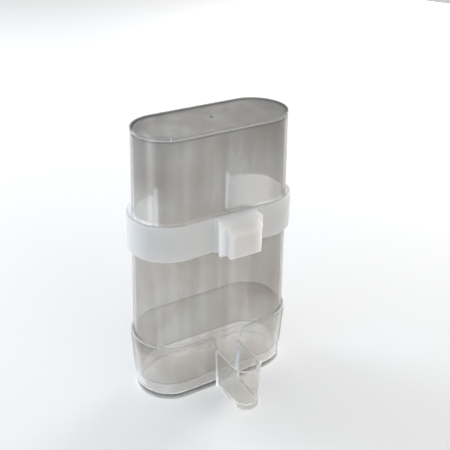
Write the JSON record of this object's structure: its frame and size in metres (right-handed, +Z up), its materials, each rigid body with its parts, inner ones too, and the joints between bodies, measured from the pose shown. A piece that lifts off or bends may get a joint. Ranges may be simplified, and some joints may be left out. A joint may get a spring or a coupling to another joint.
{
  "type": "clip-on siphon waterer fount",
  "caption": "Clear siphon waterer fount: a closed-top upright reservoir plugged mouth down into a base with a drinking spout, held to cage wires by a white spring clip.",
  "frame": {"origin": "centre of the footprint on the resting plane; the reservoir's axis stands 9.7 mm behind it because the spout sticks out in front", "axes": "+Z up along the reservoir, -Y towards the drinking spout and the clip's wedge, +X to the right for someone facing the spout"},
  "size_m": [0.0738, 0.0539, 0.1203],
  "materials": {
    "clear_reservoir": "clear, faintly smoky moulded polystyrene, fine scratches and dried water marks",
    "clear_base": "clear moulded polystyrene, fine scratches",
    "white_clip": "milky translucent white polypropylene, soft sheen"
  },
  "bodies": {
    "base": {"base": "clear_base"},
    "reservoir": {"reservoir": "clear_reservoir"},
    "clip": {"clip": "white_clip"}
  },
  "joints": [
    {"name": "reservoir_lift", "type": "slide", "parent": "base", "child": "reservoir", "axis": [0, 0, 1], "range_m": [0, 0.032]},
    {"name": "clip_slide", "type": "slide", "parent": "reservoir", "child": "clip", "axis": [0, 0, 1], "range_m": [0, 0.056]}
  ]
}
